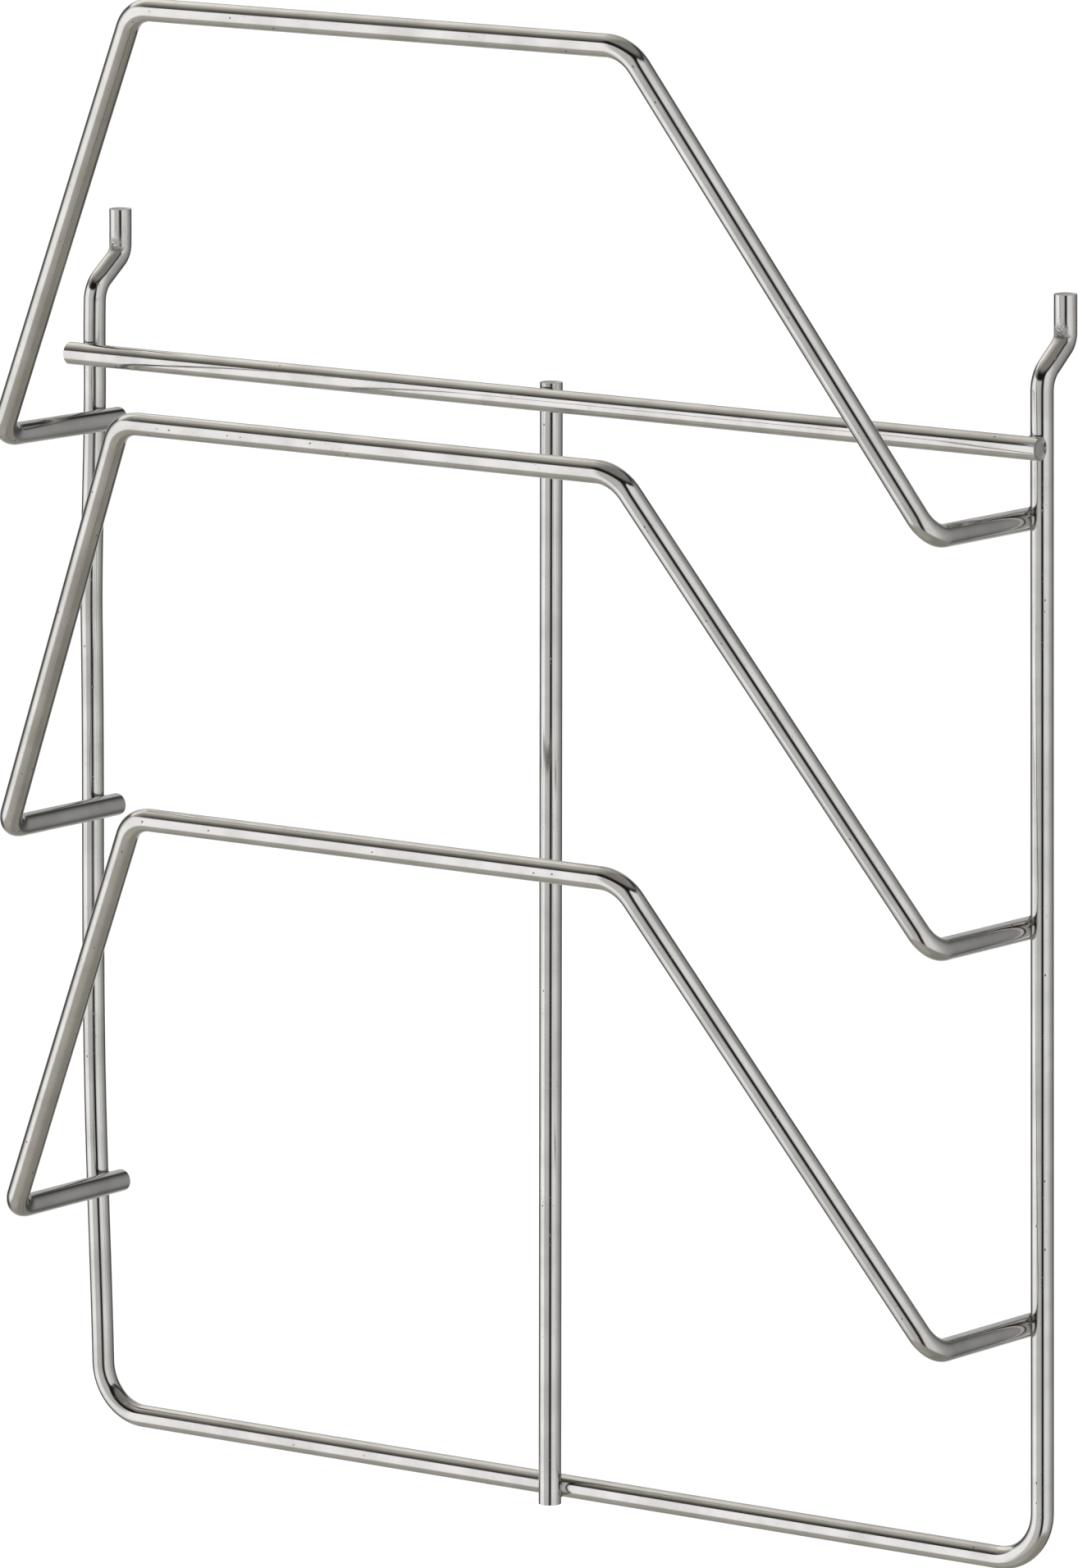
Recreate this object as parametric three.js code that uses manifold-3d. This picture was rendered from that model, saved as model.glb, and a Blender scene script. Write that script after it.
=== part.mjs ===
// Welded wire wall rack: a bent back frame with two cranked hanging pegs, one crossbar,
// one centre bar and three forward-leaning trapezoid loops that hold flat things on edge.
// Millimetres, +Z up, +Y into the wall. The origin is midway between the pegs, on the
// front face of the perforated panel, at the height where the pegs pass through it.

import * as THREE from "three";
import { mergeVertices } from "three/addons/utils/BufferGeometryUtils.js";
import Module from "manifold-3d";

// ---- stock and fits ----
const wireDiameter = 6;
const weldSink = 0.7;
const fitGap = 0.3;
const wireSides = 16;
const bendStep = 15;

// ---- back frame ----
const uprightSpacing = 304;
const frameCornerRadius = 13.5;

// ---- hanging pegs ----
const pegOffset = 10.8;
const pegTopHeight = 15.5;
const crankLowerHeight = -4.3;
const crankUpperHeight = 3.5;
const crankLowerRadius = 7;
const crankUpperRadius = 4.5;

// ---- tier loops, heights above the frame's bottom bar ----
const tierHeights = { top: 271.9, middle: 166.7, bottom: 63.3 };
const loopHeight = 120.8;
const loopLegDepth = 43.7;
const loopTopDepth = 78.4;
const loopTopHalfWidth = 77.8;
const loopFootRadius = 8;
const loopTopRadius = 10;
const legEndProud = 1.5;

// ---- crossbar and centre bar ----
const crossbarAboveTopTier = 17.9;
const hangLineAboveCrossbar = 21.9;
const crossbarOverhang = 2.5;
const centreBarAboveCrossbar = 4;
const centreBarBelowFrame = 4;

// ---- welds ----
const beadCollar = 0.95;
const beadHalfHeight = 1.2;

// ---- placements that follow from the sizes above ----
const wireRadius = wireDiameter / 2;
const cutRadius = wireRadius + fitGap;
const crossing = wireDiameter - weldSink;
const halfSpacing = uprightSpacing / 2;
const uprightY = -(wireRadius + legEndProud);
const frontY = uprightY - crossing;
const crossbarHeight = tierHeights.top + crossbarAboveTopTier;
const crossbarZ = -hangLineAboveCrossbar;
const frameBottomZ = crossbarZ - crossbarHeight;
const legX = halfSpacing - crossing;
const notchReach = Math.sqrt(2 * cutRadius * (weldSink + 2 * fitGap));
const beadReach = notchReach + beadCollar;

const wasm = await Module();
wasm.setup();

// A centreline made of straight runs joined by round bends, sampled only where it turns.
class BentWire extends THREE.Curve {
  constructor(corners, radii) {
    super();
    this.places = [];
    this.headings = [];
    const last = corners.length - 1;
    this.addStation(corners[0], direction(corners[0], corners[1]));
    for (let i = 1; i < last; i += 1) {
      this.addBend(corners[i - 1], corners[i], corners[i + 1], radii[i - 1]);
    }
    this.addStation(corners[last], direction(corners[last - 1], corners[last]));
  }

  addStation(place, heading) {
    this.places.push(place.clone());
    this.headings.push(heading.clone());
  }

  addBend(before, corner, after, radius) {
    const arriving = direction(before, corner);
    const leaving = direction(corner, after);
    const turn = arriving.angleTo(leaving);
    const setback = radius * Math.tan(turn / 2);
    const start = corner.clone().addScaledVector(arriving, -setback);
    const axis = arriving.clone().cross(leaving).normalize();
    const inward = axis.clone().cross(arriving);
    const hub = start.clone().addScaledVector(inward, radius);
    const steps = Math.ceil(THREE.MathUtils.radToDeg(turn) / bendStep);
    for (let i = 0; i <= steps; i += 1) {
      const angle = (turn * i) / steps;
      const arm = start.clone().sub(hub).applyAxisAngle(axis, angle);
      this.addStation(hub.clone().add(arm), arriving.clone().applyAxisAngle(axis, angle));
    }
  }

  get steps() {
    return this.places.length - 1;
  }

  getPointAt(fraction) {
    return this.places[Math.round(fraction * this.steps)].clone();
  }

  getTangentAt(fraction) {
    return this.headings[Math.round(fraction * this.steps)].clone();
  }
}

function point(x, y, z) {
  return new THREE.Vector3(x, y, z);
}

function direction(from, to) {
  return to.clone().sub(from).normalize();
}

// Round wire of the given radius swept along a bent centreline, ends cut square.
function wireSolid(corners, radii, radius = wireRadius) {
  const outline = [];
  for (let i = 0; i < wireSides; i += 1) {
    const angle = (2 * Math.PI * (i + 0.5)) / wireSides;
    outline.push(new THREE.Vector2(radius * Math.cos(angle), radius * Math.sin(angle)));
  }
  const path = new BentWire(corners, radii);
  const geometry = new THREE.ExtrudeGeometry(new THREE.Shape(outline), {
    steps: path.steps,
    bevelEnabled: false,
    extrudePath: path,
  });
  return toManifold(geometry);
}

function toManifold(geometry) {
  const bare = geometry.clone();
  bare.deleteAttribute("normal");
  bare.deleteAttribute("uv");
  const merged = mergeVertices(bare, 1e-4);
  return new wasm.Manifold(
    new wasm.Mesh({
      numProp: 3,
      vertProperties: Float32Array.from(merged.attributes.position.array),
      triVerts: Uint32Array.from(merged.index.array),
    }),
  );
}

function toGeometry(solid) {
  const mesh = solid.getMesh();
  const geometry = new THREE.BufferGeometry();
  geometry.setAttribute("position", new THREE.BufferAttribute(mesh.vertProperties, 3));
  geometry.setIndex(new THREE.BufferAttribute(mesh.triVerts, 1));
  const faceted = geometry.toNonIndexed();
  faceted.computeVertexNormals();
  return faceted;
}

// ---- centrelines ----
function frameCorners() {
  const left = [
    point(-halfSpacing, uprightY + pegOffset, pegTopHeight),
    point(-halfSpacing, uprightY + pegOffset, crankUpperHeight),
    point(-halfSpacing, uprightY, crankLowerHeight),
    point(-halfSpacing, uprightY, frameBottomZ),
  ];
  const right = left.map((corner) => point(-corner.x, corner.y, corner.z)).reverse();
  return [...left, ...right];
}

function loopCorners(height) {
  const footZ = frameBottomZ + height;
  const left = [
    point(-legX, 0, footZ),
    point(-legX, uprightY - loopLegDepth, footZ),
    point(-loopTopHalfWidth, uprightY - loopTopDepth, footZ + loopHeight),
  ];
  const right = left.map((corner) => point(-corner.x, corner.y, corner.z)).reverse();
  return [...left, ...right];
}

const frameRadii = [
  crankUpperRadius,
  crankLowerRadius,
  frameCornerRadius,
  frameCornerRadius,
  crankLowerRadius,
  crankUpperRadius,
];
const loopRadii = [loopFootRadius, loopTopRadius, loopTopRadius, loopFootRadius];

function crossbarCorners(extra) {
  const endX = halfSpacing + crossbarOverhang + extra;
  return [-endX, endX].map((x) => point(x, frontY, crossbarZ));
}

// The centre bar passes in front of the frame's bottom bar and behind the crossbar.
function centreBarCorners(extra) {
  const footZ = frameBottomZ - centreBarBelowFrame - extra;
  const headZ = crossbarZ + centreBarAboveCrossbar + extra;
  const lean = crossing / crossbarHeight;
  return [footZ, headZ].map((z) => point(0, frontY + (z - frameBottomZ) * lean, z));
}

// ---- wires, each notched where it is sunk into the one it is welded to ----
const frameWire = wireSolid(frameCorners(), frameRadii);
const frameCutter = wireSolid(frameCorners(), frameRadii, cutRadius);
const crossbarWire = wireSolid(crossbarCorners(0), []).subtract(frameCutter);
const crossbarCutter = wireSolid(crossbarCorners(beadReach), [], cutRadius);
const wholeCentreBar = wireSolid(centreBarCorners(0), []);
const centreBarWire = wholeCentreBar.subtract(frameCutter).subtract(crossbarCutter);
const centreBarCutter = wireSolid(centreBarCorners(beadReach), [], cutRadius);

const pieces = [
  { name: "back_frame", solid: frameWire },
  { name: "crossbar", solid: crossbarWire },
  { name: "centre_bar", solid: centreBarWire },
];

// ---- weld beads: a low ring of upset metal round each crossing ----
function weldBead(name, centre, squash, cutters) {
  const ball = new THREE.SphereGeometry(beadReach, 16, 8);
  const flatten = beadHalfHeight / beadReach;
  ball.scale(squash === "x" ? flatten : 1, squash === "y" ? flatten : 1, 1);
  ball.translate(centre.x, centre.y, centre.z);
  const bead = cutters.reduce((rest, cutter) => rest.subtract(cutter), toManifold(ball));
  pieces.push({ name, solid: bead });
}

const sides = { left: -1, right: 1 };
for (const [side, sign] of Object.entries(sides)) {
  const centre = point(sign * halfSpacing, uprightY - crossing / 2, crossbarZ);
  weldBead(`weld_crossbar_${side}`, centre, "y", [frameCutter, crossbarCutter]);
}
const centreCutters = [centreBarCutter, crossbarCutter, frameCutter];
weldBead("weld_crossbar_centre", point(0, uprightY - crossing / 2, crossbarZ), "y", centreCutters);
weldBead("weld_frame_centre", point(0, uprightY - crossing / 2, frameBottomZ), "y", centreCutters);

for (const [tier, height] of Object.entries(tierHeights)) {
  const corners = loopCorners(height);
  const loopWire = wireSolid(corners, loopRadii).subtract(frameCutter);
  const loopCutter = wireSolid(corners, loopRadii, cutRadius);
  pieces.push({ name: `loop_${tier}`, solid: loopWire });
  for (const [side, sign] of Object.entries(sides)) {
    const centre = point(sign * (halfSpacing - crossing / 2), uprightY, frameBottomZ + height);
    weldBead(`weld_${tier}_${side}`, centre, "x", [frameCutter, loopCutter]);
  }
}

// ---- assembly ----
const rack = new THREE.Group();
rack.name = "wire_wall_rack";
for (const { name, solid } of pieces) {
  const isWeld = name.startsWith("weld");
  const material = new THREE.MeshStandardMaterial({
    name: isWeld ? "weld_steel" : "polished_steel",
    color: isWeld ? 0x8a7c68 : 0xb4b1aa,
    metalness: 1,
    roughness: isWeld ? 0.5 : 0.25,
  });
  const mesh = new THREE.Mesh(toGeometry(solid), material);
  mesh.name = name;
  rack.add(mesh);
}

export default rack;
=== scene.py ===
import math

import bmesh
import bpy
from mathutils import Matrix, Vector, noise


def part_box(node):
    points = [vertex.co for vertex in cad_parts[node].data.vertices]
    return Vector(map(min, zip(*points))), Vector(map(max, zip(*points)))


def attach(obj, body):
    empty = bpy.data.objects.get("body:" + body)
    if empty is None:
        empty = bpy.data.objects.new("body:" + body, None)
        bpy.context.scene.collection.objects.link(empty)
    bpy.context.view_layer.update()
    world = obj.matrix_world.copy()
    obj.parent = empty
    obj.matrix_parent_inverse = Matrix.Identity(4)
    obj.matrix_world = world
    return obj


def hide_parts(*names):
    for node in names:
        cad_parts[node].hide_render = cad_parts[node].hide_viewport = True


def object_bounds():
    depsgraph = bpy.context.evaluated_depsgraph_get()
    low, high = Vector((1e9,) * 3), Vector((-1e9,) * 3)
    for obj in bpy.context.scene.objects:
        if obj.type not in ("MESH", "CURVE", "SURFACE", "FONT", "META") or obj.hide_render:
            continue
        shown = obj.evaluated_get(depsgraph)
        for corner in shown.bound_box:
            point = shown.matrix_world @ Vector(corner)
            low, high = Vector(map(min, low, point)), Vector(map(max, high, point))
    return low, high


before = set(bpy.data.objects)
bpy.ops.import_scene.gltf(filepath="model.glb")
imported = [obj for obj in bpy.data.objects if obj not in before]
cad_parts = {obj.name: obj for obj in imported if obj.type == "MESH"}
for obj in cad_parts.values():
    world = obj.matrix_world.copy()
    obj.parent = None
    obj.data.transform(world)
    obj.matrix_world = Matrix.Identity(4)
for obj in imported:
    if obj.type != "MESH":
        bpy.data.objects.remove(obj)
cad_low, cad_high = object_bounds()
scene = bpy.context.scene
MM = 0.001

# ---------------------------------------------------------------------------------------
# Back frame: one length of bright-drawn stainless wire bent into a U, with both ends
# cranked back and up into pegs that hook behind a perforated panel. The two upper
# kinks are pressed in a die, which dents the inner side of each bend; the crease there
# is darkened with painted shade.
# ---------------------------------------------------------------------------------------
CAD_SIDES = 16
cross_low, cross_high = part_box("crossbar")
FLAT_RADIUS = (cross_high.z - cross_low.z) / 2
WIRE_RADIUS = FLAT_RADIUS / math.cos(math.pi / CAD_SIDES)
WIRE_SIDES = 48
END_ROUND = 0.7 * MM
END_STATIONS = (0, 30, 60)
FRAME_CORNER_RADIUS = 13.5 * MM
CRANK_LOWER_RADIUS = 7.0 * MM
CRANK_UPPER_RADIUS = 4.5 * MM
CRANK_LOWER_Z = -4.3 * MM
CRANK_UPPER_Z = 3.5 * MM
BEND_STEP = math.radians(4.0)
RUN_STEP = 2.5 * MM


def wire_path(corners, radii):
    """Points along a centreline of straight runs joined by round bends."""
    corners = [Vector(c) for c in corners]
    bends = []
    for before, corner, after, radius in zip(corners, corners[1:], corners[2:], radii):
        arriving = (corner - before).normalized()
        leaving = (after - corner).normalized()
        turn = arriving.angle(leaving)
        start = corner - arriving * radius * math.tan(turn / 2)
        axis = arriving.cross(leaving).normalized()
        hub = start + axis.cross(arriving) * radius
        steps = max(2, math.ceil(turn / BEND_STEP))
        arc = [
            hub + Matrix.Rotation(turn * i / steps, 3, axis) @ (start - hub)
            for i in range(steps + 1)
        ]
        bends.append(arc)
    points = [corners[0]]
    for arc in bends + [[corners[-1]]]:
        run = arc[0] - points[-1]
        count = max(1, math.ceil(run.length / RUN_STEP))
        points += [points[-1] + run * (i / count) for i in range(1, count)]
        points += arc
    return points


def rounded_ends(points):
    """The path with extra stations where the cut ends' rims roll over, and its columns."""
    turns = [math.radians(degrees) for degrees in END_STATIONS]
    steps = [END_ROUND * (1 - math.cos(turn)) for turn in turns] + [END_ROUND]
    narrow = [1 - END_ROUND * (1 - math.sin(turn)) / WIRE_RADIUS for turn in turns] + [1.0]
    start = (points[1] - points[0]).normalized()
    finish = (points[-2] - points[-1]).normalized()
    head = [points[0] + start * step for step in steps]
    tail = [points[-1] + finish * step for step in reversed(steps)]
    path = head + points[1:-1] + tail
    taper = narrow + [1.0] * (len(points) - 2) + narrow[::-1]
    shear = [1.0] + [0.0] * (len(path) - 2) + [1.0]
    return path, taper, shear


def new_tree(name, inputs, output):
    """An empty node tree with named inputs and one geometry output."""
    tree = bpy.data.node_groups.new(name, "GeometryNodeTree")
    for label, kind in inputs.items():
        tree.interface.new_socket(label, in_out="INPUT", socket_type="NodeSocket" + kind)
    tree.interface.new_socket(output, in_out="OUTPUT", socket_type="NodeSocketGeometry")
    return tree


def drawn_wire_tree():
    """Sweeps a round section along a polyline and keeps where each point lies on it."""
    inputs = {"Centreline": "Geometry", "Wire radius": "Float", "Sides": "Int"}
    tree = new_tree("drawn wire", inputs | {"Finish": "Material"}, "Wire")
    add, link = tree.nodes.new, tree.links.new
    given = add("NodeGroupInput")
    to_curve = add("GeometryNodeMeshToCurve")
    taper = add("GeometryNodeInputNamedAttribute")
    taper.data_type = "FLOAT"
    taper.inputs["Name"].default_value = "taper"
    set_radius = add("GeometryNodeSetCurveRadius")
    section = add("GeometryNodeCurvePrimitiveCircle")
    place = add("GeometryNodeInputPosition")
    unit = add("ShaderNodeVectorMath")
    unit.operation = "NORMALIZE"
    keep = add("GeometryNodeStoreNamedAttribute")
    keep.data_type = "FLOAT_VECTOR"
    keep.inputs["Name"].default_value = "ring"
    sweep = add("GeometryNodeCurveToMesh")
    sweep.inputs["Fill Caps"].default_value = True
    real = add("GeometryNodeRealizeInstances")
    paint = add("GeometryNodeSetMaterial")
    result = add("NodeGroupOutput")
    link(given.outputs["Centreline"], to_curve.inputs["Mesh"])
    link(to_curve.outputs["Curve"], set_radius.inputs["Curve"])
    link(taper.outputs["Attribute"], set_radius.inputs["Radius"])
    link(given.outputs["Sides"], section.inputs["Resolution"])
    link(given.outputs["Wire radius"], section.inputs["Radius"])
    link(section.outputs["Curve"], keep.inputs["Geometry"])
    link(place.outputs["Position"], unit.inputs[0])
    link(unit.outputs["Vector"], keep.inputs["Value"])
    link(set_radius.outputs["Curve"], sweep.inputs["Curve"])
    link(keep.outputs["Geometry"], sweep.inputs["Profile Curve"])
    link(sweep.outputs["Mesh"], real.inputs["Geometry"])
    link(real.outputs["Geometry"], paint.inputs["Geometry"])
    link(given.outputs["Finish"], paint.inputs["Material"])
    link(paint.outputs["Geometry"], result.inputs["Wire"])
    return tree


def grown(name, mesh, tree, **values):
    """Runs a node tree on a mesh and returns the result as a plain mesh object."""
    obj = bpy.data.objects.new(name, mesh)
    scene.collection.objects.link(obj)
    modifier = obj.modifiers.new(tree.name, "NODES")
    modifier.node_group = tree
    for item in tree.interface.items_tree:
        if item.item_type == "SOCKET" and item.in_out == "INPUT" and item.name in values:
            modifier[item.identifier] = values[item.name]
    graph = bpy.context.evaluated_depsgraph_get()
    made = bpy.data.meshes.new_from_object(obj.evaluated_get(graph), depsgraph=graph)
    obj.modifiers.remove(modifier)
    obj.data = made
    made.name = name
    return obj


class Shader:
    """Small helper that adds shader nodes and joins them."""

    def __init__(self, tree):
        self.tree = tree

    def feed(self, node, inputs):
        """Joins each input to a socket, or sets its value."""
        for key, value in dict(inputs).items():
            if isinstance(value, bpy.types.NodeSocket):
                self.tree.links.new(value, node.inputs[key])
            else:
                node.inputs[key].default_value = value

    def add(self, kind, inputs=(), **settings):
        made = self.tree.nodes.new(kind)
        for key, value in settings.items():
            setattr(made, key, value)
        self.feed(made, inputs)
        return made

    def math(self, operation, a, b=0.0):
        return self.add("ShaderNodeMath", {0: a, 1: b}, operation=operation).outputs[0]

    def layered(self, level, layers):
        """Adds each layer, times its amount, to a level."""
        for layer, amount in layers:
            level = self.math("ADD", level, self.math("MULTIPLY", layer, amount))
        return level

    def ease(self, value, low, high, to_low=0.0, to_high=1.0):
        inputs = {"Value": value, "From Min": low, "From Max": high}
        inputs.update({"To Min": to_low, "To Max": to_high})
        made = self.add("ShaderNodeMapRange", inputs, interpolation_type="SMOOTHSTEP")
        return made.outputs["Result"]

    def mix(self, share, a, b):
        made = self.add("ShaderNodeMix", {0: share, 6: a, 7: b}, data_type="RGBA")
        return made.outputs[2]

    def noise(self, vector, scale, detail=3.0, rough=0.5):
        inputs = {"Vector": vector, "Scale": scale, "Detail": detail, "Roughness": rough}
        return self.add("ShaderNodeTexNoise", inputs).outputs["Fac"]

    def stretch(self, vector, scale):
        return self.add("ShaderNodeMapping", {"Vector": vector, "Scale": scale}).outputs[0]


# Marks per millimetre: twice round the wire, then along it.
DIE_LINES = (3.2, 3.2, 0.035)
FINE_LINES = (9.0, 9.0, 0.25)
SCUFF_LINES = (0.9, 0.9, 5.0)
LONG_PITS = (1.0, 1.0, 0.6)
POLISHED_ROUGHNESS = 0.055
SKIN_RELIEF = 0.03 * MM
RELIEF_STRENGTH = 0.55


def polished_wire_finish():
    """Bright-drawn stainless: die lines along the wire, pits, scuffs, weld heat tint and
    painted shade in the kink creases.
    """
    steel = (0.665, 0.656, 0.638, 1)
    worn_steel = (0.570, 0.560, 0.540, 1)
    # Near-black used for the real pits and for the painted shade in the kink creases.
    pit_and_shade_black = (0.085, 0.078, 0.070, 1)
    straw_tint = (0.52, 0.46, 0.35, 1)
    brown_tint = (0.24, 0.20, 0.15, 1)
    finish = bpy.data.materials.new("polished_wire")
    finish.use_nodes = True
    s = Shader(finish.node_tree)
    shader = finish.node_tree.nodes["Principled BSDF"]
    shader.inputs["Metallic"].default_value = 1.0
    ring = s.add("ShaderNodeAttribute", attribute_name="ring").outputs["Vector"]
    along = s.add("ShaderNodeAttribute", attribute_name="along").outputs["Fac"]
    heat = s.add("ShaderNodeAttribute", attribute_name="heat").outputs["Fac"]
    # Mask of the dented kink creases: it drives their bump and their painted shade.
    crease_dent_and_shade = s.add("ShaderNodeAttribute", attribute_name="crease_dent_and_shade").outputs["Fac"]
    shear = s.add("ShaderNodeAttribute", attribute_name="shear").outputs["Fac"]
    radius_mm = WIRE_RADIUS / MM
    girth = s.add("ShaderNodeVectorMath", {0: ring, 1: (radius_mm,) * 3}, operation="MULTIPLY")
    length = s.add("ShaderNodeCombineXYZ", {"Z": s.math("MULTIPLY", along, 1 / MM)})
    unrolled = s.add("ShaderNodeVectorMath", {0: girth.outputs[0], 1: length.outputs[0]})
    skin = unrolled.outputs[0]

    die_lines = s.noise(s.stretch(skin, DIE_LINES), 1.0, 4.0, 0.6)
    fine_lines = s.noise(s.stretch(skin, FINE_LINES), 1.0, 2.0, 0.5)
    clouds = s.noise(skin, 0.07, 3.0, 0.55)
    grain = s.noise(skin, 2.6, 4.0, 0.65)

    cells = s.add("ShaderNodeTexVoronoi", {"Vector": s.stretch(skin, LONG_PITS), "Scale": 0.5})
    rare = s.add("ShaderNodeSeparateColor", {"Color": cells.outputs["Color"]})
    chosen = s.ease(rare.outputs[0], 0.80, 0.82)
    pit = s.math("MULTIPLY", s.ease(cells.outputs["Distance"], 0.13, 0.07), chosen)
    small = s.add("ShaderNodeTexVoronoi", {"Vector": skin, "Scale": 1.7})
    small_rare = s.add("ShaderNodeSeparateColor", {"Color": small.outputs["Color"]})
    patchy = s.ease(s.noise(skin, 0.11, 2.0), 0.52, 0.66)
    small_pit = s.math("MULTIPLY", s.ease(small.outputs["Distance"], 0.20, 0.12), patchy)
    small_pit = s.math("MULTIPLY", small_pit, s.ease(small_rare.outputs[0], 0.70, 0.72))
    pits = s.math("MAXIMUM", pit, small_pit)

    scuff_lines = s.noise(s.stretch(skin, SCUFF_LINES), 1.0, 5.0, 0.7)
    scuff_patch = s.ease(s.noise(skin, 0.05, 2.0), 0.58, 0.70)
    scuffs = s.math("MULTIPLY", s.ease(scuff_lines, 0.60, 0.66), scuff_patch)

    colour = s.mix(s.ease(clouds, 0.35, 0.70), steel, worn_steel)
    colour = s.mix(s.ease(heat, 0.12, 0.55), colour, straw_tint)
    colour = s.mix(s.ease(heat, 0.5, 1.0, 0.0, 0.85), colour, brown_tint)
    # Painted shade: the dented crease at each upper kink is darkened toward near-black.
    crease_dent_and_painted_shade = s.math("MULTIPLY", crease_dent_and_shade, s.ease(s.noise(skin, 1.4, 4.0, 0.7), 0.42, 0.62))
    colour = s.mix(s.math("MULTIPLY", crease_dent_and_painted_shade, 0.75), colour, pit_and_shade_black)
    colour = s.mix(s.math("MULTIPLY", pits, 0.85), colour, pit_and_shade_black)
    roughness_layers = (
        (s.ease(clouds, 0.3, 0.75), 0.07),
        (die_lines, 0.05),
        (heat, 0.16),
        (scuffs, 0.22),
        (pits, 0.35),
        (shear, 0.30),
    )
    relief_layers = (
        (die_lines, 0.06),
        (fine_lines, 0.02),
        (grain, 0.03),
        (s.math("MULTIPLY", shear, s.noise(skin, 1.1, 5.0, 0.7)), 1.2),
        (pits, -1.6),
        (scuffs, -0.45),
        (crease_dent_and_painted_shade, -12.0),
    )
    relief = {"Height": s.layered(0.0, relief_layers)}
    relief.update({"Strength": RELIEF_STRENGTH, "Distance": SKIN_RELIEF})
    rough = s.layered(POLISHED_ROUGHNESS, roughness_layers)
    bump = s.add("ShaderNodeBump", relief).outputs["Normal"]
    shader.inputs["Base Color"].default_value = steel
    s.feed(shader, {"Base Color": colour, "Roughness": rough, "Normal": bump})
    return finish


WIRE_TREE = drawn_wire_tree()
WIRE_FINISH = polished_wire_finish()
HEAT_REACH = 5.0 * MM
PATTERN_STEP = 10.0 * MM
DISH_STEPS = ((0.25 * MM, 0.03 * MM), (0.30 * MM, 0.12 * MM), (0.50 * MM, 0.10 * MM))


def dish_ends(mesh):
    """Sinks the middle of each cut end a little, as a worn shear leaves it."""
    work = bmesh.new()
    work.from_mesh(mesh)
    caps = [face for face in work.faces if len(face.verts) > 4]
    for width, depth in DISH_STEPS:
        bmesh.ops.inset_individual(work, faces=caps, thickness=width, depth=-depth)
    work.to_mesh(mesh)
    work.free()
    for face in mesh.polygons:
        face.use_smooth = True


def drawn_wire(node, corners, radii, welds):
    """One bent wire that stands for the CAD node named."""
    path, taper, shear = rounded_ends(wire_path(corners, radii))
    mesh = bpy.data.meshes.new(node + " centreline")
    mesh.from_pydata([tuple(p) for p in path], [(i, i + 1) for i in range(len(path) - 1)], [])
    travelled = [0.0]
    for before, after in zip(path, path[1:]):
        travelled.append(travelled[-1] + (after - before).length)
    offset = sum(ord(letter) for letter in node) * PATTERN_STEP
    warmth = [max(math.exp(-(((p - w).length / HEAT_REACH) ** 2)) for w in welds) for p in path]
    columns = {"taper": taper, "heat": warmth, "shear": shear}
    columns["along"] = [t + offset for t in travelled]
    for key, values in columns.items():
        mesh.attributes.new(key, "FLOAT", "POINT").data.foreach_set("value", values)
    wire = grown(
        node + "_wire",
        mesh,
        WIRE_TREE,
        **{"Wire radius": WIRE_RADIUS, "Sides": WIRE_SIDES, "Finish": WIRE_FINISH},
    )
    dish_ends(wire.data)
    # Zero everywhere until press_crease marks the kink dents and their painted shade.
    wire.data.attributes.new("crease_dent_and_shade", "FLOAT", "POINT")
    return wire


def declare(piece, node):
    """Hangs a finished piece on the rack's one body in place of its CAD node."""
    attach(piece, "root")
    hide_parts(node)


back_low, back_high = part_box("back_frame")
HALF_SPACING = back_high.x - FLAT_RADIUS
UPRIGHT_Y = back_low.y + FLAT_RADIUS
PEG_Y = back_high.y - FLAT_RADIUS
PEG_TOP_Z = back_high.z
FRAME_BOTTOM_Z = back_low.z + FLAT_RADIUS
WELD_SINK = 1.4 * MM
CROSSBAR_Y = UPRIGHT_Y - 2 * WIRE_RADIUS + WELD_SINK
CROSSBAR_Z = (cross_low.z + cross_high.z) / 2
JOINT_Y = (UPRIGHT_Y + CROSSBAR_Y) / 2
TIERS = ("top", "middle", "bottom")
FOOT_Z = {tier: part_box("loop_" + tier)[0].z + FLAT_RADIUS for tier in TIERS}
LEG_X = HALF_SPACING - 2 * WIRE_RADIUS + WELD_SINK
LEG_JOINT_X = (LEG_X + HALF_SPACING) / 2
SIDES = {"left": -1, "right": 1}

frame_welds = [Vector((s * HALF_SPACING, JOINT_Y, CROSSBAR_Z)) for s in SIDES.values()]
for s in SIDES.values():
    frame_welds += [Vector((s * LEG_JOINT_X, UPRIGHT_Y, z)) for z in FOOT_Z.values()]
frame_welds.append(Vector((0, JOINT_Y, FRAME_BOTTOM_Z)))
left_half = [
    (-HALF_SPACING, PEG_Y, PEG_TOP_Z),
    (-HALF_SPACING, PEG_Y, CRANK_UPPER_Z),
    (-HALF_SPACING, UPRIGHT_Y, CRANK_LOWER_Z),
    (-HALF_SPACING, UPRIGHT_Y, FRAME_BOTTOM_Z),
]
right_half = [(-x, y, z) for x, y, z in reversed(left_half)]
frame_radii = [CRANK_UPPER_RADIUS, CRANK_LOWER_RADIUS, FRAME_CORNER_RADIUS]
back_frame = drawn_wire(
    "back_frame", left_half + right_half, frame_radii + frame_radii[::-1], frame_welds
)


# The pressed dent and its painted shade, in millimetres about its middle.
CREASE_FORWARD = 3.1
CREASE_RISE = 1.6
CREASE_REACH = 6.0
CREASE_BACK = 2.4
GROOVE_HALF_WIDTH = 1.9
GROOVE_HALF_HEIGHT = 0.45
GROOVE_DEPTH = 0.55
TORN_AND_SHADED_SIZE = 1.5
TORN_AND_SHADED_RISE = 1.1
TORN_LUMP_SIZE = 0.7
TORN_LUMP_HEIGHT = 0.22


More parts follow.
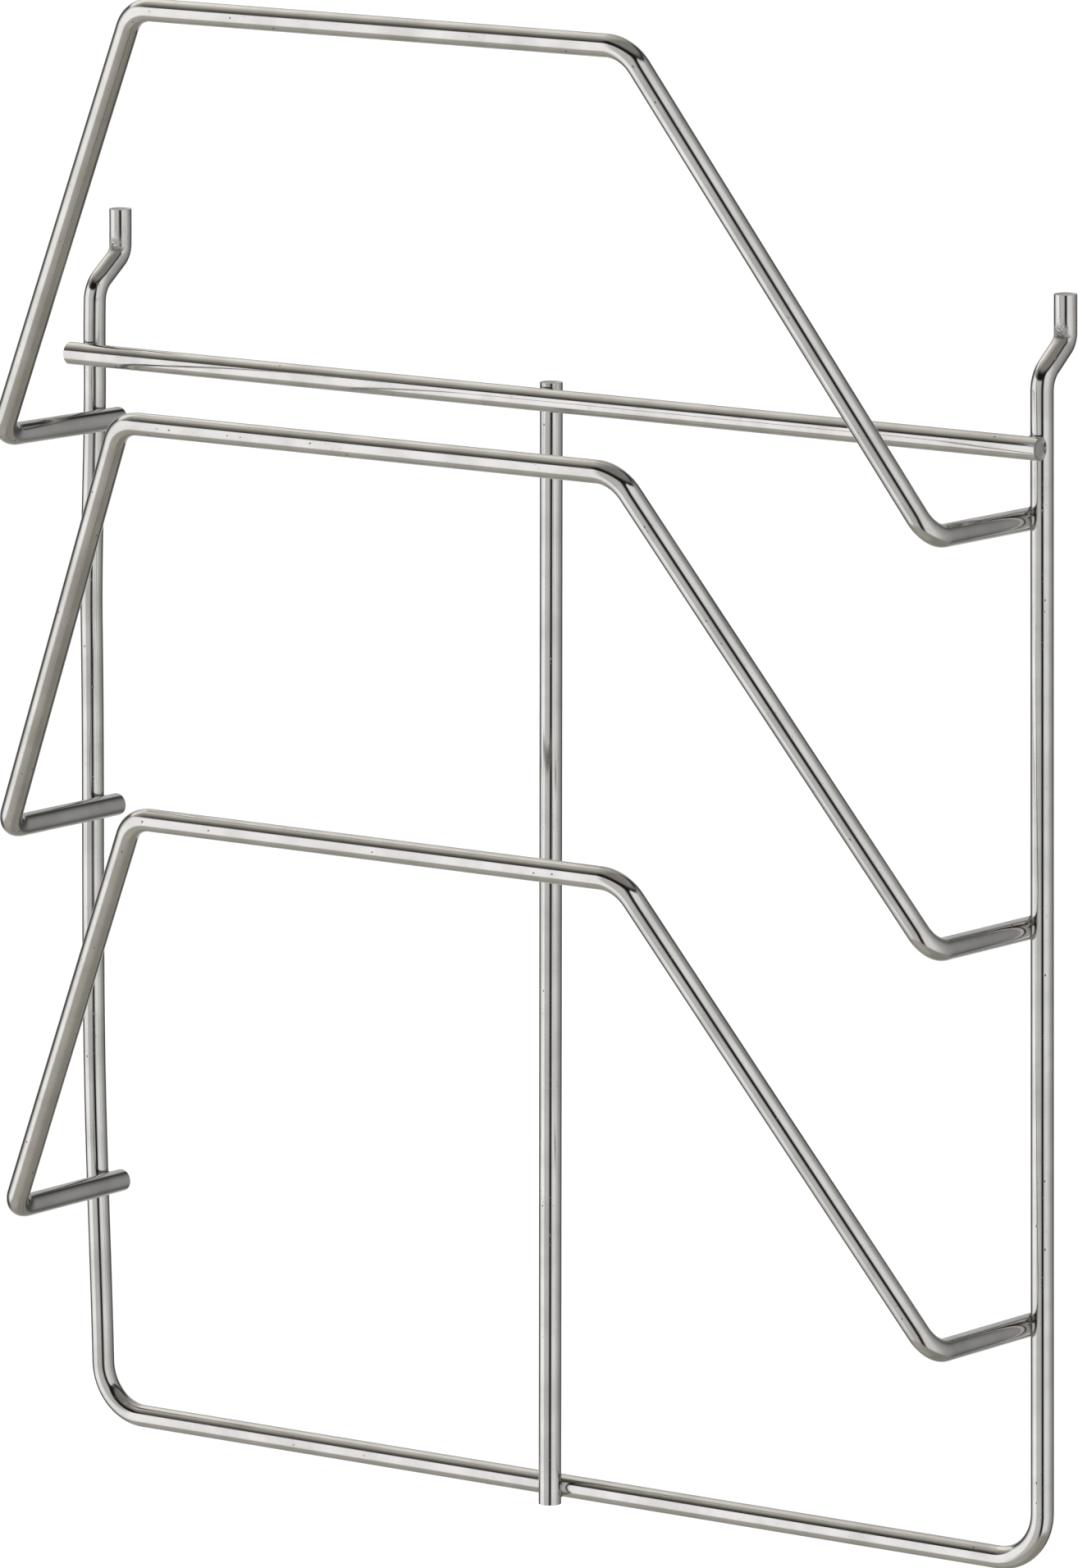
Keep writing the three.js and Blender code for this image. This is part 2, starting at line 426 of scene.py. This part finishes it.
def press_crease(wire, side):
    """Dents the front of a peg's upper kink with a pinched groove and lumpy torn skin above it,
    and marks both to be darkened with painted shade.
    """
    crease = Vector(
        (side * HALF_SPACING, PEG_Y - CREASE_FORWARD * MM, CRANK_UPPER_Z + CREASE_RISE * MM)
    )
    marks = wire.data.attributes["crease_dent_and_shade"].data
    for vertex in wire.data.vertices:
        away = (vertex.co - crease) / MM
        if away.length > CREASE_REACH or away.y > CREASE_BACK:
            continue
        torn_and_shaded = math.exp(-((away.x / TORN_AND_SHADED_SIZE) ** 2) - ((away.z - TORN_AND_SHADED_RISE) / TORN_AND_SHADED_SIZE) ** 2)
        groove = math.exp(
            -((away.z / GROOVE_HALF_HEIGHT) ** 2) - (away.x / GROOVE_HALF_WIDTH) ** 2
        )
        lump = noise.noise(vertex.co / (TORN_LUMP_SIZE * MM)) * TORN_LUMP_HEIGHT
        vertex.co.y += (GROOVE_DEPTH * groove + lump * torn_and_shaded) * MM
        # How strongly the finish here is darkened with painted shade, over the groove and the
        # torn skin.
        marks[vertex.index].value = max(torn_and_shaded, groove)


LEFT_BOW = (
    (FRAME_BOTTOM_Z, 0.0),
    (FRAME_BOTTOM_Z + 100 * MM, -1.5),
    (CROSSBAR_Z - 75 * MM, -0.2),
    (CROSSBAR_Z, 2.2),
    (PEG_TOP_Z, 3.2),
)


def bow_at(z):
    """How far the left upright stands off true at a height, toed in at its top."""
    for (low, low_bow), (high, high_bow) in zip(LEFT_BOW, LEFT_BOW[1:]):
        if z <= high:
            share = min(1.0, max(0.0, (z - low) / (high - low)))
            share = share * share * (3 - 2 * share)
            return (low_bow + (high_bow - low_bow) * share) * MM
    return LEFT_BOW[-1][1] * MM


for side in SIDES.values():
    press_crease(back_frame, side)
for vertex in back_frame.data.vertices:
    if vertex.co.x < FRAME_CORNER_RADIUS - HALF_SPACING:
        vertex.co.x += bow_at(vertex.co.z)
declare(back_frame, "back_frame")

# ---------------------------------------------------------------------------------------
# Crossbar: a straight cut of the same wire, resistance-welded across the front of both
# uprights just under the pegs, with its sheared ends barely past the uprights.
# ---------------------------------------------------------------------------------------
crossbar_ends = [(x, CROSSBAR_Y, CROSSBAR_Z) for x in (cross_low.x, cross_high.x)]
crossbar_welds = frame_welds[:2] + [Vector((0, JOINT_Y, CROSSBAR_Z))]
crossbar = drawn_wire("crossbar", crossbar_ends, [], crossbar_welds)
declare(crossbar, "crossbar")

# ---------------------------------------------------------------------------------------
# Centre bar: a straight wire in front of the bottom bar and behind the crossbar, so it
# leans back by one wire over its height. Both ends are square shear cuts.
# ---------------------------------------------------------------------------------------
centre_low, centre_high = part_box("centre_bar")
lean = (UPRIGHT_Y - CROSSBAR_Y) / (CROSSBAR_Z - FRAME_BOTTOM_Z)
centre_ends = [
    (0, CROSSBAR_Y + (z - FRAME_BOTTOM_Z) * lean, z) for z in (centre_low.z, centre_high.z)
]
centre_welds = [Vector((0, JOINT_Y, FRAME_BOTTOM_Z)), Vector((0, JOINT_Y, CROSSBAR_Z))]
centre_bar = drawn_wire("centre_bar", centre_ends, [], centre_welds)
declare(centre_bar, "centre_bar")

# ---------------------------------------------------------------------------------------
# Tier loops: three alike, each one wire bent into a trapezoid that leans forward from two
# straight legs. The legs lie along the insides of the uprights and end square at the wall.
# ---------------------------------------------------------------------------------------
LEG_DEPTH = 43.7 * MM
LOOP_TOP_DEPTH = {"top": 74.4 * MM, "middle": 81.3 * MM, "bottom": 79.6 * MM}
LOOP_TOP_HALF_WIDTH = {"top": 77.5 * MM, "middle": 78.4 * MM, "bottom": 77.5 * MM}
LOOP_HEIGHT = {"top": 121.8 * MM, "middle": 120.6 * MM, "bottom": 120.1 * MM}
LEFT_LEG_RISE = 1.2 * MM
RIGHT_LEG_FALL = 1.3 * MM
LOOP_FOOT_RADIUS = 8.0 * MM
LOOP_TOP_RADIUS = 10.0 * MM
loop_radii = [LOOP_FOOT_RADIUS, LOOP_TOP_RADIUS, LOOP_TOP_RADIUS, LOOP_FOOT_RADIUS]
for tier in TIERS:
    foot_y, foot_z = UPRIGHT_Y - LEG_DEPTH, FOOT_Z[tier]
    top_x = LOOP_TOP_HALF_WIDTH[tier]
    top_y, top_z = UPRIGHT_Y - LOOP_TOP_DEPTH[tier], foot_z + LOOP_HEIGHT[tier]
    corners = [
        (-LEG_X + bow_at(foot_z), 0, foot_z),
        (-LEG_X, foot_y, foot_z + LEFT_LEG_RISE),
        (-top_x, top_y, top_z),
        (top_x, top_y, top_z),
        (LEG_X, foot_y, foot_z),
        (LEG_X, 0, foot_z - RIGHT_LEG_FALL),
    ]
    welds = [Vector((s * LEG_JOINT_X, UPRIGHT_Y, foot_z)) for s in SIDES.values()]
    loop = drawn_wire("loop_" + tier, corners, loop_radii, welds)
    declare(loop, "loop_" + tier)

# ---------------------------------------------------------------------------------------
# Resistance welds: where two wires cross they were squeezed and fused, and a thin ragged
# collar of upset metal was left round each crossing, dulled and browned by the heat.
# ---------------------------------------------------------------------------------------
BEAD_REACH = 3.3 * MM
BEAD_HALF_HEIGHT = 0.9 * MM
INWARD_SHIFT = 0.6 * MM
BALL_SUBDIVISIONS = 5
RAG_SCALE = 3.2
RAG_DETAIL = 4.0
RAG_SPREAD = 40.0
RAGGEDNESS = 0.22


def weld_tree():
    """A flattened ragged ball of upset metal, placed at a crossing."""
    inputs = {"Base": "Geometry", "Centre": "Vector", "Size": "Vector"}
    inputs |= {"Raggedness": "Float", "Finish": "Material"}
    tree = new_tree("weld collar", inputs, "Weld")
    add, link = tree.nodes.new, tree.links.new
    given = add("NodeGroupInput")
    ball = add("GeometryNodeMeshIcoSphere")
    ball.inputs["Radius"].default_value = 1.0
    ball.inputs["Subdivisions"].default_value = BALL_SUBDIVISIONS
    here = add("GeometryNodeInputPosition")
    spread = add("ShaderNodeVectorMath")
    spread.operation = "ADD"
    rag = add("ShaderNodeTexNoise")
    rag.inputs["Scale"].default_value = RAG_SCALE
    rag.inputs["Detail"].default_value = RAG_DETAIL
    centred = add("ShaderNodeMath")
    centred.operation = "SUBTRACT"
    centred.inputs[1].default_value = 0.5
    amount = add("ShaderNodeMath")
    amount.operation = "MULTIPLY_ADD"
    amount.inputs[2].default_value = 1.0
    swell = add("ShaderNodeVectorMath")
    swell.operation = "SCALE"
    sized = add("ShaderNodeVectorMath")
    sized.operation = "MULTIPLY"
    put = add("ShaderNodeVectorMath")
    put.operation = "ADD"
    shift = add("ShaderNodeVectorMath")
    shift.operation = "SCALE"
    shift.inputs["Scale"].default_value = RAG_SPREAD
    move = add("GeometryNodeSetPosition")
    smooth = add("GeometryNodeSetShadeSmooth")
    real = add("GeometryNodeRealizeInstances")
    paint = add("GeometryNodeSetMaterial")
    result = add("NodeGroupOutput")
    link(given.outputs["Centre"], shift.inputs[0])
    link(here.outputs[0], spread.inputs[0])
    link(shift.outputs[0], spread.inputs[1])
    link(spread.outputs[0], rag.inputs["Vector"])
    link(rag.outputs["Fac"], centred.inputs[0])
    link(centred.outputs[0], amount.inputs[0])
    link(given.outputs["Raggedness"], amount.inputs[1])
    link(here.outputs[0], swell.inputs[0])
    link(amount.outputs[0], swell.inputs["Scale"])
    link(swell.outputs[0], sized.inputs[0])
    link(given.outputs["Size"], sized.inputs[1])
    link(sized.outputs[0], put.inputs[0])
    link(given.outputs["Centre"], put.inputs[1])
    link(ball.outputs["Mesh"], move.inputs["Geometry"])
    link(put.outputs[0], move.inputs["Position"])
    link(move.outputs[0], smooth.inputs["Geometry"])
    link(smooth.outputs[0], real.inputs["Geometry"])
    link(real.outputs[0], paint.inputs["Geometry"])
    link(given.outputs["Finish"], paint.inputs["Material"])
    link(paint.outputs[0], result.inputs["Weld"])
    return tree


def weld_finish():
    """Upset steel: dull grey brown with darker oxide in its folds."""
    bare = (0.52, 0.49, 0.44, 1)
    oxide = (0.15, 0.125, 0.10, 1)
    finish = bpy.data.materials.new("weld_metal")
    finish.use_nodes = True
    s = Shader(finish.node_tree)
    shader = finish.node_tree.nodes["Principled BSDF"]
    shader.inputs["Metallic"].default_value = 1.0
    shader.inputs["Base Color"].default_value = bare
    place = s.add("ShaderNodeTexCoord").outputs["Object"]
    lumps = s.noise(place, 900.0, 5.0, 0.65)
    spots = s.noise(place, 2600.0, 3.0, 0.6)
    colour = s.mix(s.ease(lumps, 0.40, 0.62), oxide, bare)
    rough = s.ease(spots, 0.3, 0.7, 0.28, 0.62)
    relief = s.math("ADD", lumps, s.math("MULTIPLY", spots, 0.4))
    bump = s.add("ShaderNodeBump", {"Height": relief, "Strength": 0.8, "Distance": 0.12 * MM})
    normal = bump.outputs["Normal"]
    s.feed(shader, {"Base Color": colour, "Roughness": rough, "Normal": normal})
    return finish


WELD_TREE = weld_tree()
WELD_FINISH = weld_finish()


def weld(node, flat_axis):
    """The collar of one weld, in the middle of its CAD node."""
    low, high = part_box(node)
    centre = (low + high) / 2
    if flat_axis == 0:
        centre.x = math.copysign(LEG_JOINT_X, centre.x)
    else:
        centre.y = JOINT_Y
    if node in ("weld_crossbar_left", "weld_crossbar_right"):
        centre.x = math.copysign(HALF_SPACING - INWARD_SHIFT, centre.x)
    if node.endswith("_left"):
        centre.x += bow_at(centre.z)
    size = [BEAD_REACH] * 3
    size[flat_axis] = BEAD_HALF_HEIGHT
    values = {"Centre": tuple(centre), "Size": tuple(size), "Raggedness": RAGGEDNESS}
    base = bpy.data.meshes.new(node + " base")
    collar = grown(node + "_collar", base, WELD_TREE, Finish=WELD_FINISH, **values)
    declare(collar, node)


for side in SIDES:
    weld("weld_crossbar_" + side, 1)
    for tier in TIERS:
        weld(f"weld_{tier}_{side}", 0)
weld("weld_crossbar_centre", 1)
weld("weld_frame_centre", 1)

# ---------------------------------------------------------------------------------------
# Studio: a pale floor well below the rack, one broad soft lamp for the floor, and a
# surround of soft panels, gaps and a dim ceiling for the steel to mirror.
# ---------------------------------------------------------------------------------------
CAMERA_AZIMUTH = math.radians(35.812)
CAMERA_ELEVATION = math.radians(10.476)
CAMERA_ROLL = math.radians(0.474)
CAMERA_PLACE = Vector((1.7548, -2.4434, 0.4318))
CAMERA_LENS = 268.99
SENSOR_LONG_SIDE = 36.0
FLOOR_DROP = 0.6
FLOOR_HALF_SIZE = 60.0

floor_mesh = bpy.data.meshes.new("floor")
edge, floor_z = FLOOR_HALF_SIZE, cad_low.z - FLOOR_DROP
floor_mesh.from_pydata(
    [(x, y, floor_z) for x, y in ((-edge, -edge), (edge, -edge), (edge, edge), (-edge, edge))],
    [],
    [(0, 1, 2, 3)],
)
floor = bpy.data.objects.new("floor", floor_mesh)
scene.collection.objects.link(floor)
floor_paint = bpy.data.materials.new("floor_paint")
floor_paint.use_nodes = True
floor_shader = floor_paint.node_tree.nodes["Principled BSDF"]
floor_shader.inputs["Base Color"].default_value = (0.9, 0.9, 0.9, 1)
floor_shader.inputs["Roughness"].default_value = 1.0
floor_mesh.materials.append(floor_paint)
floor.visible_glossy = False

lamp_data = bpy.data.lights.new("floor lamp", "SUN")
lamp_data.energy = 2.9
lamp_data.angle = math.radians(70)
lamp = bpy.data.objects.new("floor lamp", lamp_data)
lamp.rotation_euler = (math.radians(12), math.radians(-8), 0)
lamp.visible_glossy = False
scene.collection.objects.link(lamp)


def ramp(s, value, stops):
    """A grey colour ramp from (position, brightness or colour) stops."""
    made = s.add("ShaderNodeValToRGB", {"Fac": value})
    elements = made.color_ramp.elements
    while len(elements) < len(stops):
        elements.new(0.5)
    for element, (position, level) in zip(elements, stops):
        element.position = position
        element.color = (*level, 1) if isinstance(level, tuple) else (level, level, level, 1)
    return made.outputs["Color"]


# Brightness or colour of the surround by bearing in degrees, 0 being toward the camera.
PANEL_RING = (
    (-180, 0.45),
    (-158, 0.45),
    (-148, 0.06),
    (-128, 0.08),
    (-116, 0.55),
    (-104, 1.0),
    (-68, 1.0),
    (-60, 0.56),
    (-22, 0.54),
    (-12, 0.32),
    (-7, 0.01),
    (7, 0.01),
    (12, 0.40),
    (20, 0.80),
    (52, 0.76),
    (82, 0.42),
    (112, 0.26),
    (132, 0.08),
    (148, 0.06),
    (158, 0.45),
    (180, 0.45),
)
GROUND_RING = (
    (-180, (0.26, 0.25, 0.225)),
    (-110, (0.40, 0.385, 0.35)),
    (-60, (0.42, 0.405, 0.37)),
    (60, (0.27, 0.26, 0.23)),
    (180, (0.26, 0.25, 0.225)),
)
# Ceiling brightness by the cosine of the angle to its brightest side.
CEILING_LOBE = (
    (0.47, 0.01),
    (0.55, 0.07),
    (0.62, 0.14),
    (0.73, 0.23),
    (0.83, 0.33),
    (0.87, 0.43),
    (0.90, 0.62),
    (0.93, 0.92),
)


def by_bearing(stops):
    """Turns bearings into places along a ramp."""
    return [((degrees + 180) / 360, level) for degrees, level in stops]


def studio_surround():
    """Panels round the rack, by compass bearing from the camera and by height."""
    world = bpy.data.worlds.new("studio")
    world.use_nodes = True
    scene.world = world
    s = Shader(world.node_tree)
    direction = s.add("ShaderNodeTexCoord").outputs["Generated"]
    turned = s.add(
        "ShaderNodeVectorRotate",
        {"Vector": direction, "Angle": -CAMERA_AZIMUTH},
        rotation_type="Z_AXIS",
    )
    parts = s.add("ShaderNodeSeparateXYZ", {"Vector": turned.outputs[0]}).outputs
    nearness = s.math("MULTIPLY", parts["Y"], -1.0)
    bearing = s.math("ARCTAN2", parts["X"], nearness)
    turn = s.math("ADD", s.math("DIVIDE", bearing, 2 * math.pi), 0.5)
    height = s.math("DIVIDE", s.math("ARCSINE", parts["Z"]), math.radians(1))

    ring = ramp(s, turn, by_bearing(PANEL_RING))
    ground = ramp(s, turn, by_bearing(GROUND_RING))
    lobe_axis = Vector((-0.85, 0.30, 0.43)).normalized()
    toward = s.add(
        "ShaderNodeVectorMath", {0: direction, 1: tuple(lobe_axis)}, operation="DOT_PRODUCT"
    ).outputs["Value"]
    lobe = ramp(s, toward, CEILING_LOBE)
    zenith = s.ease(height, 40.0, 58.0, 0.0, 0.22)
    ceiling_level = s.math("ADD", lobe, zenith)
    ceiling = s.mix(ceiling_level, (0, 0, 0, 1), (1.0, 0.965, 0.90, 1))
    colour = s.mix(s.ease(height, -46.0, -34.0), ground, ring)
    above_panels = s.math("SUBTRACT", height, s.ease(bearing, 0.0, 0.5, 0.0, 14.0))
    colour = s.mix(s.ease(above_panels, 20.0, 26.5), colour, ceiling)
    shine = world.node_tree.nodes["Background"]
    world.node_tree.links.new(colour, shine.inputs["Color"])
    shine.inputs["Strength"].default_value = 1.25


studio_surround()

camera_data = bpy.data.cameras.new("camera")
camera_data.sensor_fit = "AUTO"
camera_data.sensor_width = SENSOR_LONG_SIDE
camera_data.lens = CAMERA_LENS
camera_data.clip_end = 200.0
camera = bpy.data.objects.new("camera", camera_data)
turn_up = Matrix.Rotation(math.pi / 2 - CAMERA_ELEVATION, 4, "X")
turn_round = Matrix.Rotation(CAMERA_AZIMUTH, 4, "Z")
roll = Matrix.Rotation(-CAMERA_ROLL, 4, "Z")
camera.matrix_world = Matrix.Translation(CAMERA_PLACE) @ turn_round @ turn_up @ roll
scene.collection.objects.link(camera)
scene.camera = camera
scene.view_settings.view_transform = "Standard"
